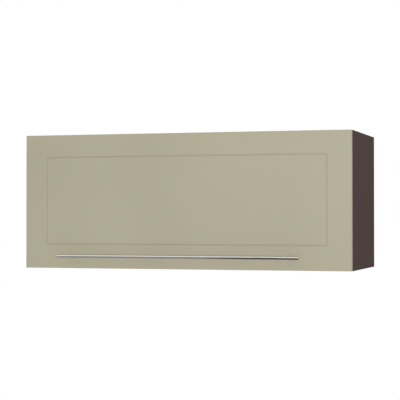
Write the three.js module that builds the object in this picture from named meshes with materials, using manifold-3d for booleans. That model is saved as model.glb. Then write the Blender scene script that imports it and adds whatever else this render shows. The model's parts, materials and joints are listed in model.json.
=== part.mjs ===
// Lift-up wall cabinet: a chipboard box with one wide flap door that swings up.
// Millimetres. +X is to the right, -Y is the front, +Z is up.
// The origin is on the rear face of the back sheet, at the middle of its width and height.
import * as THREE from 'three';
import { mergeVertices } from 'three/addons/utils/BufferGeometryUtils.js';
import Module from 'manifold-3d';

const wasm = await Module();
wasm.setup();

// ---------------------------------------------------------------- driving sizes
const CABINET_WIDTH = 900;
const CABINET_HEIGHT = 360;
const PANEL = 16; // chipboard thickness
const CARCASS_DEPTH = 326; // panels only, without back sheet and door
const BACK_SHEET = 3;
const BACK_INSET = 2; // the back sheet stops this far inside the outer edges
const FIT = 0.3; // gap between a piece and the hole or seat it sits in
const RUN = 0.2; // radial running clearance of a pivot

const DOOR = {
  thickness: 16,
  gap: 2, // between the door and the carcass front, held by the bumpers
  sideReveal: 1.5,
  endReveal: 0, // the door is as high as the side panels
  edgeRadius: 0.8,
};
const GROOVE = { margin: 60.6, width: 4, depth: 1.5, floor: 0.8, moved: { x: -1, z: 2.3 } };

const HANDLE = {
  radius: 4,
  leftMargin: 103, // door edge to the bar's end
  rightMargin: 130,
  postInset: 28, // post centre to the bar's end
  aboveDoorBottom: 33,
  standOff: 30, // bar axis to door face
  postRadius: 4,
  postBore: 2.2,
  postBoreDepth: 14,
};
const HANDLE_SCREW = { radius: 1.9, headRadius: 4.2, headHeight: 2.4, reach: 12 };

const CAM = {
  radius: 7.2,
  height: 12.4,
  fromEnd: 34, // cam centre to the panel's end
  frontInset: 46,
  rearInset: 46,
  cross: { length: 8, width: 1.6, depth: 1.2 },
};
const BOLT = { radius: 2.5, intoSide: 11, headRadius: 3.4, headLength: 3 };

const HINGE = {
  fromSide: 94, // hinge centre to the inner face of the side panel
  axisDepth: 9, // turning axis, in from the door's inner face
  axisBelowTop: 5, // turning axis, below the door's top edge
  cupEdge: 3, // door top edge to cup
  cupRadius: 17.2,
  cupDepth: 11.5,
  cupWall: 0.8,
  cupFloor: 1.2,
  flangeLength: 52,
  flangeThickness: 1,
  flangeDrop: 2.2, // flange edge, below the cup's lowest point
  pin: 1.4,
  eye: 2.7,
  linkThickness: 2.2,
  innerHalf: 3, // half width of the inner link
  outerGap: 0.4,
  outerPlate: 1.8,
  cheekGap: 0.7,
  cheek: 1.5,
  noseRadius: 2.8,
  noseBack: 14, // where the arm's nose meets its lower edge, behind the outer pivot
  noseTop: 11, // where the nose meets the upper edge, behind the inner pivot
  armGap: 1, // arm to the mounting plate's wings
  armDepth: 8.5, // inside depth of the arm's channel
  plateLine: 37, // mounting plate screws, back from the carcass front edge
  plateWing: 25,
  plateHalf: 9,
  plateBase: 2,
  blockHalf: 21,
  armBack: 30, // the arm's end behind the plate line
};
// Link pivots on the arm, and the bent links, seen from the door's turning axis (y, z).
const INNER_LINK = { pivot: [7.5, -18], tip: [-1.08, 14.93], bend: 3 };
const OUTER_LINK = { pivot: [11.5, -27], tip: [-6.33, 23.79], bend: 5 };

const LIFT = {
  pivotBack: 110, // lever pivot behind the door's turning axis
  pivotDrop: 50, // lever pivot below the door's turning axis
  armBack: 20.75, // door bracket pin behind the turning axis
  armDrop: 76.75, // door bracket pin below the turning axis
  housingDepth: 22,
  housingFront: 60, // housing, forward of the lever pivot
  housingRear: 80,
  housingTop: 31,
  housingBottom: 62,
  wall: 2,
  cornerRadius: 10,
  cover: 1.5,
  layerGap: 0.5,
  plate: 4, // lever and link thickness
  leverRadius: 11,
  leverTipRadius: 9,
  linkRadius: 8,
  spindle: 5,
  bossRadius: 8,
  bossHeight: 6,
  lobeRadius: 13,
  lobeOffset: 4,
  lobeWidth: 8,
  pin: 4,
  pinHead: 6,
  pinHeadHeight: 1.2,
  ear: 3,
  earRadius: 9,
  bracketPlate: 2.5,
  bracketWidth: 30,
  bracketHalf: 28,
};
const SPRING = { radius: 8, wire: 1.2, turns: 9, drop: 42, sides: 6, stepsPerTurn: 8 };

const HANGER = {
  depth: 18,
  length: 60,
  height: 56,
  belowTop: 4,
  cornerRadius: 5,
  hookWidth: 8,
  hookThickness: 5,
  hookDrop: 21, // hook strip's underside below the housing's top
  hookOut: 8, // hook reach behind the back sheet
  seatRise: 1, // the seat on the wall rail is notched this much into the strip
  lip: 2.5,
  lipDrop: 10,
  hookFront: 52,
  screwRadius: 2.5,
  screwHead: 4,
  screwHeadHeight: 2.5,
  screwLength: 34,
  upperScrew: 8,
  lowerScrew: 38,
  cutMargin: 6, // back sheet opening beyond the hook, above and below
  cross: { length: 4.8, width: 1, depth: 1.2 },
};
const BUMPER = { radius: 4, seatGap: 0.3, aboveBottom: 8 };

// ---------------------------------------------------------------- derived places
const HALF_WIDTH = CABINET_WIDTH / 2;
const HALF_HEIGHT = CABINET_HEIGHT / 2;
const SIDE_INNER = HALF_WIDTH - PANEL;
const INNER_TOP = HALF_HEIGHT - PANEL;
const CARCASS_FRONT = -(BACK_SHEET + CARCASS_DEPTH);
const DOOR_BACK = CARCASS_FRONT - DOOR.gap;
const DOOR_FRONT = DOOR_BACK - DOOR.thickness;
const DOOR_WIDTH = CABINET_WIDTH - 2 * DOOR.sideReveal;
const DOOR_HEIGHT = CABINET_HEIGHT - 2 * DOOR.endReveal;
const DOOR_TOP = DOOR_HEIGHT / 2;
const AXIS_Y = DOOR_BACK - HINGE.axisDepth;
const AXIS_Z = DOOR_TOP - HINGE.axisBelowTop;
const HINGE_X = SIDE_INNER - HINGE.fromSide;
const CUP_Z = DOOR_TOP - HINGE.cupEdge - HINGE.cupRadius - FIT;
const LEVER_PIVOT = [AXIS_Y + LIFT.pivotBack, AXIS_Z - LIFT.pivotDrop];
const BRACKET_PIN = [AXIS_Y + LIFT.armBack, AXIS_Z - LIFT.armDrop];
const LEVER_PIN = [LEVER_PIVOT[0] + LIFT.armBack, LEVER_PIVOT[1] - LIFT.armDrop];
const HANDLE_ENDS = [-DOOR_WIDTH / 2 + HANDLE.leftMargin, DOOR_WIDTH / 2 - HANDLE.rightMargin];
const HANDLE_Z = -DOOR_TOP + HANDLE.aboveDoorBottom;
const HANDLE_Y = DOOR_FRONT - HANDLE.standOff;

// ---------------------------------------------------------------- materials
const material = (color, roughness, metalness = 0) =>
  new THREE.MeshStandardMaterial({ color, roughness, metalness });
const LAMINATE = material(0x4d413f, 0.5);
const DOOR_FILM = material(0xb2ab97, 0.55);
const HARDBOARD = material(0x8a6a48, 0.8);
const NICKEL = material(0xb9b9b6, 0.3, 1);
const ZINC = material(0xa4a6a8, 0.45, 1);
const STAINLESS = material(0xc4c3bd, 0.28, 1);
const GREY_PLASTIC = material(0xb4b6b8, 0.5);
const CLEAR_RUBBER = material(0xd8d8d4, 0.35);

// ---------------------------------------------------------------- solids
function solid(geometry) {
  const bare = geometry.clone();
  bare.deleteAttribute('normal');
  bare.deleteAttribute('uv');
  const merged = mergeVertices(bare, 1e-4);
  return new wasm.Manifold(new wasm.Mesh({
    numProp: 3,
    vertProperties: new Float32Array(merged.attributes.position.array),
    triVerts: new Uint32Array(merged.index.array),
  }));
}

function toMesh(name, shape, surface) {
  const cut = shape.getMesh();
  const geometry = new THREE.BufferGeometry();
  geometry.setAttribute('position', new THREE.BufferAttribute(new Float32Array(cut.vertProperties), 3));
  geometry.setIndex(new THREE.BufferAttribute(new Uint32Array(cut.triVerts), 1));
  geometry.computeVertexNormals();
  const mesh = new THREE.Mesh(geometry, surface);
  mesh.name = name;
  return mesh;
}

// A box between two limits on each axis, given in either order.
function block(x, y, z) {
  const size = [x, y, z].map(([a, b]) => Math.abs(b - a));
  const middle = [x, y, z].map(([a, b]) => (a + b) / 2);
  return solid(new THREE.BoxGeometry(...size).translate(...middle));
}

// Round bars along one axis, between two limits, about a centre in the other two axes.
function rodX(radius, x, y, z, sides = 20) {
  const geometry = new THREE.CylinderGeometry(radius, radius, Math.abs(x[1] - x[0]), sides);
  return solid(geometry.rotateZ(Math.PI / 2).translate((x[0] + x[1]) / 2, y, z));
}

function rodY(radius, y, x, z, sides = 20) {
  const geometry = new THREE.CylinderGeometry(radius, radius, Math.abs(y[1] - y[0]), sides);
  return solid(geometry.translate(0, (y[0] + y[1]) / 2, 0).translate(x, 0, z));
}

function rodZ(radius, z, x, y, sides = 20) {
  const geometry = new THREE.CylinderGeometry(radius, radius, Math.abs(z[1] - z[0]), sides);
  return solid(geometry.rotateX(Math.PI / 2).translate(x, y, (z[0] + z[1]) / 2));
}

// A flat shape drawn in (y, z), made thick along X between two limits.
function plateX(shape, x, curveSegments = 5) {
  const start = Math.min(...x);
  const depth = Math.abs(x[1] - x[0]);
  const geometry = new THREE.ExtrudeGeometry(shape, { depth, bevelEnabled: false, curveSegments });
  const turn = new THREE.Matrix4().makeBasis(
    new THREE.Vector3(0, 1, 0),
    new THREE.Vector3(0, 0, 1),
    new THREE.Vector3(1, 0, 0),
  );
  return solid(geometry.applyMatrix4(turn).translate(start, 0, 0));
}

// A bar outline with round ends of two radii, from one point to the other.
function barOutline(from, to, radiusFrom, radiusTo) {
  const along = Math.atan2(to[1] - from[1], to[0] - from[0]);
  const length = Math.hypot(to[0] - from[0], to[1] - from[1]);
  const lean = Math.acos((radiusFrom - radiusTo) / length);
  const shape = new THREE.Shape();
  shape.absarc(from[0], from[1], radiusFrom, along + lean, along - lean + 2 * Math.PI, false);
  shape.absarc(to[0], to[1], radiusTo, along - lean, along + lean, false);
  return shape;
}

function roundedOutline(y, z, radius) {
  const [y0, y1] = [Math.min(...y), Math.max(...y)];
  const [z0, z1] = [Math.min(...z), Math.max(...z)];
  const shape = new THREE.Shape();
  shape.absarc(y1 - radius, z1 - radius, radius, 0, Math.PI / 2, false);
  shape.absarc(y0 + radius, z1 - radius, radius, Math.PI / 2, Math.PI, false);
  shape.absarc(y0 + radius, z0 + radius, radius, Math.PI, 1.5 * Math.PI, false);
  shape.absarc(y1 - radius, z0 + radius, radius, 1.5 * Math.PI, 2 * Math.PI, false);
  return shape;
}

function polygon(points) {
  return new THREE.Shape(points.map(([y, z]) => new THREE.Vector2(y, z)));
}

// Half sizes of the two bars of a cross recess.
function crossArms({ length, width }) {
  return [[length / 2, width / 2], [width / 2, length / 2]];
}

const sideName = (side) => (side < 0 ? 'left' : 'right');
// Limits along X that run inwards from the side panel's inner face.
const inFromSide = (side, near, far) => [side * (SIDE_INNER - near), side * (SIDE_INNER - far)];

// ---------------------------------------------------------------- carcass
const CAM_ROWS = {
  front: CARCASS_FRONT + CAM.frontInset,
  rear: -BACK_SHEET - CAM.rearInset,
};
const LEVELS = { top: 1, bottom: -1 };
const boltZ = (level) => level * (HALF_HEIGHT - PANEL / 2);
const camX = (side) => side * (SIDE_INNER - CAM.fromEnd);

function sidePanel(side) {
  const depth = [-BACK_SHEET, CARCASS_FRONT];
  let panel = block([side * SIDE_INNER, side * HALF_WIDTH], depth, [-HALF_HEIGHT, HALF_HEIGHT]);
  for (const level of Object.values(LEVELS)) {
    for (const y of Object.values(CAM_ROWS)) {
      const reach = [side * (SIDE_INNER - 1), side * (SIDE_INNER + BOLT.intoSide + FIT)];
      panel = panel.subtract(rodX(BOLT.radius + FIT, reach, y, boltZ(level), 12));
    }
  }
  return toMesh(`side_panel_${sideName(side)}`, panel, LAMINATE);
}

function shelfPanel(levelName) {
  const level = LEVELS[levelName];
  const inner = level * INNER_TOP;
  let panel = block([-SIDE_INNER, SIDE_INNER], [-BACK_SHEET, CARCASS_FRONT], [inner, level * HALF_HEIGHT]);
  for (const side of [-1, 1]) {
    for (const y of Object.values(CAM_ROWS)) {
      const well = [inner - level, inner + level * (CAM.height + FIT)];
      const bore = [camX(side), side * (SIDE_INNER + 1)];
      panel = panel.subtract(rodZ(CAM.radius + FIT, well, camX(side), y, 24));
      panel = panel.subtract(rodX(BOLT.headRadius + FIT, bore, y, boltZ(level), 12));
    }
  }
  return toMesh(`${levelName}_panel`, panel, LAMINATE);
}

const HOOK_X = SIDE_INNER - HANGER.depth / 2;
const HANGER_TOP = INNER_TOP - HANGER.belowTop;
const HOOK_Z = HANGER_TOP - HANGER.hookDrop;

function backPanel() {
  const x = HALF_WIDTH - BACK_INSET;
  const z = HALF_HEIGHT - BACK_INSET;
  let sheet = block([-x, x], [0, -BACK_SHEET], [-z, z]);
  for (const side of [-1, 1]) {
    const across = HANGER.hookWidth / 2 + HANGER.cutMargin / 2;
    const low = HOOK_Z - HANGER.lipDrop - HANGER.cutMargin;
    const high = HOOK_Z + HANGER.hookThickness + HANGER.cutMargin;
    sheet = sheet.subtract(block(
      [side * HOOK_X - across, side * HOOK_X + across],
      [1, -BACK_SHEET - 1],
      [low, high],
    ));
  }
  return toMesh('back_panel', sheet, HARDBOARD);
}

// The cam sits in its well, flush with the panel's inner face, with a slot for the bolt's head.
function camLock(levelName, rowName, side) {
  const level = LEVELS[levelName];
  const y = CAM_ROWS[rowName];
  const x = camX(side);
  const face = level * INNER_TOP;
  let cam = rodZ(CAM.radius, [face, face + level * CAM.height], x, y, 24);
  const slotHalf = BOLT.headRadius + FIT;
  cam = cam.subtract(block(
    [x - side * (BOLT.headLength + FIT), side * (Math.abs(x) + CAM.radius + 1)],
    [y - slotHalf, y + slotHalf],
    [boltZ(level) - slotHalf, boltZ(level) + slotHalf],
  ));
  for (const [alongX, alongY] of crossArms(CAM.cross)) {
    cam = cam.subtract(block(
      [x - alongX, x + alongX],
      [y - alongY, y + alongY],
      [face - level, face + level * CAM.cross.depth],
    ));
  }
  return toMesh(`cam_lock_${levelName}_${rowName}_${sideName(side)}`, cam, ZINC);
}

function camBolt(levelName, rowName, side) {
  const z = boltZ(LEVELS[levelName]);
  const y = CAM_ROWS[rowName];
  const x = camX(side);
  const shank = [x, side * (SIDE_INNER + BOLT.intoSide)];
  const head = [x - side * BOLT.headLength, x];
  const bolt = rodX(BOLT.radius, shank, y, z, 12).add(rodX(BOLT.headRadius, head, y, z, 12));
  return toMesh(`cam_bolt_${levelName}_${rowName}_${sideName(side)}`, bolt, ZINC);
}

function carcass() {
  const group = new THREE.Group();
  group.add(shelfPanel('top'), shelfPanel('bottom'), backPanel());
  for (const side of [-1, 1]) {
    group.add(sidePanel(side));
    for (const levelName of Object.keys(LEVELS)) {
      for (const rowName of Object.keys(CAM_ROWS)) {
        group.add(camLock(levelName, rowName, side), camBolt(levelName, rowName, side));
      }
    }
  }
  return group;
}

// ---------------------------------------------------------------- wall hangers
const HANGER_FRONT = -BACK_SHEET - HANGER.length;
const upperScrewZ = HANGER_TOP - HANGER.upperScrew;
const lowerScrewZ = HANGER_TOP - HANGER.lowerScrew;

function hangerHousing(side) {
  const z = [HANGER_TOP - HANGER.height, HANGER_TOP];
  const outline = roundedOutline([HANGER_FRONT, -BACK_SHEET], z, HANGER.cornerRadius);
  let housing = plateX(outline, inFromSide(side, 0, HANGER.depth), 4);
  const half = HANGER.hookWidth / 2 + FIT;
  housing = housing.subtract(block(
    [side * HOOK_X - half, side * HOOK_X + half],
    [HANGER_FRONT + HANGER.length - HANGER.hookFront - FIT, 1],
    [HOOK_Z - FIT, HOOK_Z + HANGER.hookThickness + FIT],
  ));
  for (const screwZ of [upperScrewZ, lowerScrewZ]) {
    const bore = [HANGER_FRONT - 1, HANGER_FRONT + HANGER.screwLength + FIT];
    housing = housing.subtract(rodY(HANGER.screwRadius + FIT, bore, side * HOOK_X, screwZ, 12));
  }
  return toMesh(`wall_hanger_housing_${sideName(side)}`, housing, GREY_PLASTIC);
}

function hangerHook(side) {
  const half = HANGER.hookWidth / 2;
  const x = [side * HOOK_X - half, side * HOOK_X + half];
  const top = HOOK_Z + HANGER.hookThickness;
  const strip = block(x, [-BACK_SHEET - HANGER.hookFront, HANGER.hookOut], [HOOK_Z, top]);
  const lip = block(x, [HANGER.hookOut - HANGER.lip, HANGER.hookOut], [HOOK_Z - HANGER.lipDrop, top]);
  const seat = block(
    [x[0] - 1, x[1] + 1],
    [0, HANGER.hookOut - HANGER.lip],
    [HOOK_Z - 1, HOOK_Z + HANGER.seatRise],
  );
  return toMesh(`wall_hanger_hook_${sideName(side)}`, strip.add(lip).subtract(seat), ZINC);
}

function hangerScrew(side, screwName, z) {
  const x = side * HOOK_X;
  const shank = [HANGER_FRONT - HANGER.screwHeadHeight, HANGER_FRONT + HANGER.screwLength];
  const head = [HANGER_FRONT - HANGER.screwHeadHeight, HANGER_FRONT];
  let screw = rodY(HANGER.screwRadius, shank, x, z, 12).add(rodY(HANGER.screwHead, head, x, z, 16));
  for (const [alongX, alongZ] of crossArms(HANGER.cross)) {
    screw = screw.subtract(block(
      [x - alongX, x + alongX],
      [head[0] - 1, head[0] + HANGER.cross.depth],
      [z - alongZ, z + alongZ],
    ));
  }
  return toMesh(`wall_hanger_${screwName}_screw_${sideName(side)}`, screw, ZINC);
}

function wallHangers() {
  const group = new THREE.Group();
  for (const side of [-1, 1]) {
    group.add(
      hangerHousing(side),
      hangerHook(side),
      hangerScrew(side, 'height', lowerScrewZ),
      hangerScrew(side, 'depth', upperScrewZ),
    );
  }
  return group;
}

// ---------------------------------------------------------------- door
// A four-sided wedge, narrower at one end of its depth, for the walls of the routed groove.
function wedge(front, rear, y) {
  const geometry = new THREE.BoxGeometry(1, 1, 1);
  const position = geometry.attributes.position;
  for (let i = 0; i < position.count; i += 1) {
    const atFront = position.getY(i) < 0;
    const size = atFront ? front : rear;
    position.setXYZ(i, position.getX(i) * size[0], atFront ? y[0] : y[1], position.getZ(i) * size[1]);
  }
  return solid(geometry);
}

function grooveCutter() {
  const slope = (GROOVE.width - GROOVE.floor) / 2;
  const size = (inset) => [DOOR_WIDTH - 2 * inset, DOOR_HEIGHT - 2 * inset];
  const floor = DOOR_FRONT + GROOVE.depth;
  // Both wedges start one groove depth in front of the face, on the same slope.
  const start = DOOR_FRONT - GROOVE.depth;
  const outer = wedge(size(GROOVE.margin - slope), size(GROOVE.margin + slope), [start, floor]);
  const innerInset = GROOVE.margin + GROOVE.width;
  const inner = wedge(size(innerInset + slope), size(innerInset - slope), [start, floor + FIT]);
  const island = inner.subtract(block(
    [-DOOR_WIDTH, DOOR_WIDTH],
    [floor, floor + 1],
    [-DOOR_HEIGHT, DOOR_HEIGHT],
  ));
  return outer.subtract(island).translate([GROOVE.moved.x, 0, GROOVE.moved.z]);
}

const postX = (side) => HANDLE_ENDS[side < 0 ? 0 : 1] - side * HANDLE.postInset;

function doorPanel() {
  const radius = DOOR.edgeRadius;
  const outline = new THREE.Shape();
  outline.moveTo(-DOOR_WIDTH / 2, -DOOR_HEIGHT / 2);
  outline.lineTo(DOOR_WIDTH / 2, -DOOR_HEIGHT / 2);
  outline.lineTo(DOOR_WIDTH / 2, DOOR_HEIGHT / 2);
  outline.lineTo(-DOOR_WIDTH / 2, DOOR_HEIGHT / 2);
  const slab = new THREE.ExtrudeGeometry(outline, {
    depth: DOOR.thickness - 2 * radius,
    bevelThickness: radius,
    bevelSize: radius,
    bevelOffset: -radius,
    bevelSegments: 3,
  });
  slab.translate(0, 0, radius).rotateX(Math.PI / 2).translate(0, DOOR_BACK, 0);
  let door = solid(slab).subtract(grooveCutter());
  for (const side of [-1, 1]) {
    const cupBore = [DOOR_BACK + 1, DOOR_BACK - HINGE.cupDepth - FIT];
    door = door.subtract(rodY(HINGE.cupRadius + FIT, cupBore, side * HINGE_X, CUP_Z, 32));
    const through = [DOOR_BACK + 1, DOOR_FRONT - 1];
    door = door.subtract(rodY(HANDLE_SCREW.radius + FIT, through, postX(side), HANDLE_Z, 12));
  }
  return toMesh('door_panel', door, DOOR_FILM);
}

function handleBar() {
  return toMesh('handle_bar', rodX(HANDLE.radius, HANDLE_ENDS, HANDLE_Y, HANDLE_Z, 32), STAINLESS);
}

function handlePost(side) {
  const x = postX(side);
  const reach = [x - HANDLE.postRadius - 1, x + HANDLE.postRadius + 1];
  let post = rodY(HANDLE.postRadius, [DOOR_FRONT, HANDLE_Y], x, HANDLE_Z, 20);
  post = post.subtract(rodX(HANDLE.radius + FIT, reach, HANDLE_Y, HANDLE_Z, 32));
  const bore = [DOOR_FRONT + 1, DOOR_FRONT - HANDLE.postBoreDepth];
  post = post.subtract(rodY(HANDLE.postBore, bore, x, HANDLE_Z, 12));
  return toMesh(`handle_post_${sideName(side)}`, post, STAINLESS);
}

function handleScrew(side) {
  const x = postX(side);
  const shank = [DOOR_BACK, DOOR_FRONT - HANDLE_SCREW.reach];
  const head = [DOOR_BACK, DOOR_BACK + HANDLE_SCREW.headHeight];
  const screw = rodY(HANDLE_SCREW.radius, shank, x, HANDLE_Z, 12)
    .add(rodY(HANDLE_SCREW.headRadius, head, x, HANDLE_Z, 16));
  return toMesh(`handle_screw_${sideName(side)}`, screw, ZINC);
}

function doorBumper(side) {
  const x = side * (HALF_WIDTH - PANEL / 2);
  const z = -HALF_HEIGHT + BUMPER.aboveBottom;
  const pad = rodY(BUMPER.radius, [DOOR_BACK, CARCASS_FRONT - BUMPER.seatGap], x, z, 20);
  return toMesh(`door_bumper_${sideName(side)}`, pad, CLEAR_RUBBER);
}

function door() {
  const group = new THREE.Group();
  group.add(doorPanel(), handleBar());
  for (const side of [-1, 1]) {
    group.add(handlePost(side), handleScrew(side), doorBumper(side));
  }
  return group;
}

// ---------------------------------------------------------------- cup hinges
// Each hinge is drawn about its own turning axis: x from its centre, y and z from the axis.
const CUP_LOCAL_Z = CUP_Z - AXIS_Z;
const PANEL_LOCAL_Z = INNER_TOP - AXIS_Z;
const PLATE_LOCAL_Y = CARCASS_FRONT + HINGE.plateLine - AXIS_Y;
const OUTER_INNER_X = HINGE.innerHalf + HINGE.outerGap;
const OUTER_HALF = OUTER_INNER_X + HINGE.outerPlate;
const CHEEK_INNER = OUTER_HALF + HINGE.cheekGap;
const CHEEK_OUTER = CHEEK_INNER + HINGE.cheek;
const ARM_TOP = PANEL_LOCAL_Z - HINGE.plateBase - HINGE.armGap;
const ARM_WEB_TOP = ARM_TOP - HINGE.armDepth;
const ARM_BOTTOM = ARM_WEB_TOP - HINGE.cheek;

function hingeCup(name) {
  const face = HINGE.axisDepth;
  const wall = [face, face - HINGE.cupDepth];
  const flangeY = [face, face + HINGE.flangeThickness];
  let cup = rodY(HINGE.cupRadius, wall, 0, CUP_LOCAL_Z, 32);
  const halfLength = HINGE.flangeLength / 2;
  const low = CUP_LOCAL_Z - HINGE.cupRadius - HINGE.flangeDrop;
  const high = CUP_LOCAL_Z + HINGE.cupRadius;
  cup = cup.add(block([-halfLength, halfLength], flangeY, [low, high]));
  const pocket = [face + HINGE.flangeThickness + 1, face - HINGE.cupDepth + HINGE.cupFloor];
  cup = cup.subtract(rodY(HINGE.cupRadius - HINGE.cupWall, pocket, 0, CUP_LOCAL_Z, 32));
  return toMesh(name, cup, NICKEL);
}

function mountingPlate(name) {
  const y = PLATE_LOCAL_Y;
  const wings = block(
    [-HINGE.plateWing, HINGE.plateWing],
    [y - HINGE.plateHalf, y + HINGE.plateHalf],
    [PANEL_LOCAL_Z, PANEL_LOCAL_Z - HINGE.plateBase],
  );
  const half = CHEEK_INNER - FIT;
  const rail = block(
    [-half, half],
    [y - HINGE.blockHalf, y + HINGE.blockHalf],
    [PANEL_LOCAL_Z, ARM_WEB_TOP + FIT],
  );
  return toMesh(name, wings.add(rail), ZINC);
}

function hingeArm(name) {
  const back = PLATE_LOCAL_Y + HINGE.armBack;
  const [innerY, innerZ] = INNER_LINK.pivot;
  const [outerY, outerZ] = OUTER_LINK.pivot;
  const nose = HINGE.noseRadius;
  const cheekOutline = polygon([
    [innerY, innerZ + nose],
    [outerY, outerZ],
    [outerY + nose / 2, outerZ - nose / 2],
    [outerY + HINGE.noseBack, ARM_BOTTOM],
    [back, ARM_BOTTOM],
    [back, ARM_TOP],
    [innerY + HINGE.noseTop, ARM_TOP],
  ]);
  const noseOutline = barOutline(INNER_LINK.pivot, OUTER_LINK.pivot, nose, nose);
  let arm = block([-CHEEK_OUTER, CHEEK_OUTER], [outerY + HINGE.noseBack, back], [ARM_BOTTOM, ARM_WEB_TOP]);
  for (const side of [-1, 1]) {
    const x = [side * CHEEK_INNER, side * CHEEK_OUTER];
    arm = arm.add(plateX(cheekOutline, x)).add(plateX(noseOutline, x));
  }
  for (const [y, z] of [INNER_LINK.pivot, OUTER_LINK.pivot]) {
    arm = arm.add(rodX(HINGE.pin, [-CHEEK_OUTER, CHEEK_OUTER], y, z, 12));
  }
  return toMesh(name, arm, NICKEL);
}

// A bent strip from the pivot to the tip: an arc that bows towards the door.
function linkOutline({ pivot, tip, bend }) {
  const chord = Math.hypot(...tip);
  const radius = (chord * chord / 4 + bend * bend) / (2 * bend);
  const normal = [-tip[1] / chord, tip[0] / chord];
  const centre = [
    pivot[0] + tip[0] / 2 + normal[0] * (bend - radius),
    pivot[1] + tip[1] / 2 + normal[1] * (bend - radius),
  ];
  const start = Math.atan2(pivot[1] - centre[1], pivot[0] - centre[0]);
  const sweep = 2 * Math.asin(chord / 2 / radius);
  const half = HINGE.linkThickness / 2;
  const end = start - sweep;
  const middle = (angle) => [
    centre[0] + radius * Math.cos(angle),
    centre[1] + radius * Math.sin(angle),
  ];
  const shape = new THREE.Shape();
  shape.absarc(centre[0], centre[1], radius + half, start, end, true);
  shape.absarc(...middle(end), half, end, end - Math.PI, true);
  shape.absarc(centre[0], centre[1], radius - half, end, start, false);
  return shape;
}

function eyeAndHole(link, x) {
  const [y, z] = link.pivot;
  const reach = [x[0] - 1, x[1] + 1];
  return {
    eye: rodX(HINGE.eye, x, y, z, 16),
    hole: rodX(HINGE.pin + RUN, reach, y, z, 12),
  };
}

function innerLink(name) {
  const x = [-HINGE.innerHalf, HINGE.innerHalf];
  const { eye, hole } = eyeAndHole(INNER_LINK, x);
  return toMesh(name, plateX(linkOutline(INNER_LINK), x).add(eye).subtract(hole), NICKEL);
}

function outerLink(name) {
  const { eye, hole } = eyeAndHole(OUTER_LINK, [-OUTER_HALF, OUTER_HALF]);
  let link = eye;
  for (const side of [-1, 1]) {
    link = link.add(plateX(linkOutline(OUTER_LINK), [side * OUTER_INNER_X, side * OUTER_HALF]));
  }
  return toMesh(name, link.subtract(hole), NICKEL);
}

function cupHinges() {
  const group = new THREE.Group();
  for (const side of [-1, 1]) {
    const hinge = new THREE.Group();
    hinge.position.set(side * HINGE_X, AXIS_Y, AXIS_Z);
    hinge.add(
      hingeCup(`hinge_cup_${sideName(side)}`),
      mountingPlate(`hinge_mounting_plate_${sideName(side)}`),
      hingeArm(`hinge_arm_${sideName(side)}`),
      innerLink(`hinge_inner_link_${sideName(side)}`),
      outerLink(`hinge_outer_link_${sideName(side)}`),
    );
    group.add(hinge);
  }
  return group;
}

// ---------------------------------------------------------------- lift units
// Layers inwards from the side panel: housing, cover, lever, link arm, bracket ear.
const COVER_NEAR = LIFT.housingDepth;
const COVER_FAR = COVER_NEAR + LIFT.cover;
const LEVER_NEAR = COVER_FAR + LIFT.layerGap;
const LEVER_FAR = LEVER_NEAR + LIFT.plate;
const LINK_NEAR = LEVER_FAR + LIFT.layerGap;
const LINK_FAR = LINK_NEAR + LIFT.plate;
const EAR_NEAR = LINK_FAR + LIFT.layerGap;
const EAR_FAR = EAR_NEAR + LIFT.ear;

const HOUSING_Y = [LEVER_PIVOT[0] - LIFT.housingFront, LEVER_PIVOT[0] + LIFT.housingRear];
const HOUSING_Z = [LEVER_PIVOT[1] - LIFT.housingBottom, LEVER_PIVOT[1] + LIFT.housingTop];
const SPRING_Z = LEVER_PIVOT[1] - SPRING.drop;

function liftHousing(side) {
  const outline = roundedOutline(HOUSING_Y, HOUSING_Z, LIFT.cornerRadius);
  const cavity = roundedOutline(
    [HOUSING_Y[0] + LIFT.wall, HOUSING_Y[1] - LIFT.wall],
    [HOUSING_Z[0] + LIFT.wall, HOUSING_Z[1] - LIFT.wall],
    LIFT.cornerRadius - LIFT.wall,
  );
  let housing = plateX(outline, inFromSide(side, 0, LIFT.housingDepth), 4);
  housing = housing.subtract(plateX(cavity, inFromSide(side, LIFT.wall, LIFT.housingDepth + 1), 4));
  const boss = inFromSide(side, LIFT.wall - 1, LIFT.wall + LIFT.bossHeight);
  const bore = inFromSide(side, LIFT.wall, LIFT.wall + LIFT.bossHeight + 1);
  housing = housing.add(rodX(LIFT.bossRadius, boss, ...LEVER_PIVOT));
  housing = housing.subtract(rodX(LIFT.spindle + RUN, bore, ...LEVER_PIVOT));
  return toMesh(`lift_housing_${sideName(side)}`, housing, ZINC);
}

function liftCover(side) {
  const outline = roundedOutline(HOUSING_Y, HOUSING_Z, LIFT.cornerRadius);
  const window = inFromSide(side, COVER_NEAR - 1, COVER_FAR + 1);
  const cover = plateX(outline, inFromSide(side, COVER_NEAR, COVER_FAR), 4)
    .subtract(rodX(LIFT.spindle + RUN, window, ...LEVER_PIVOT));
  return toMesh(`lift_cover_${sideName(side)}`, cover, GREY_PLASTIC);
}

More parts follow.
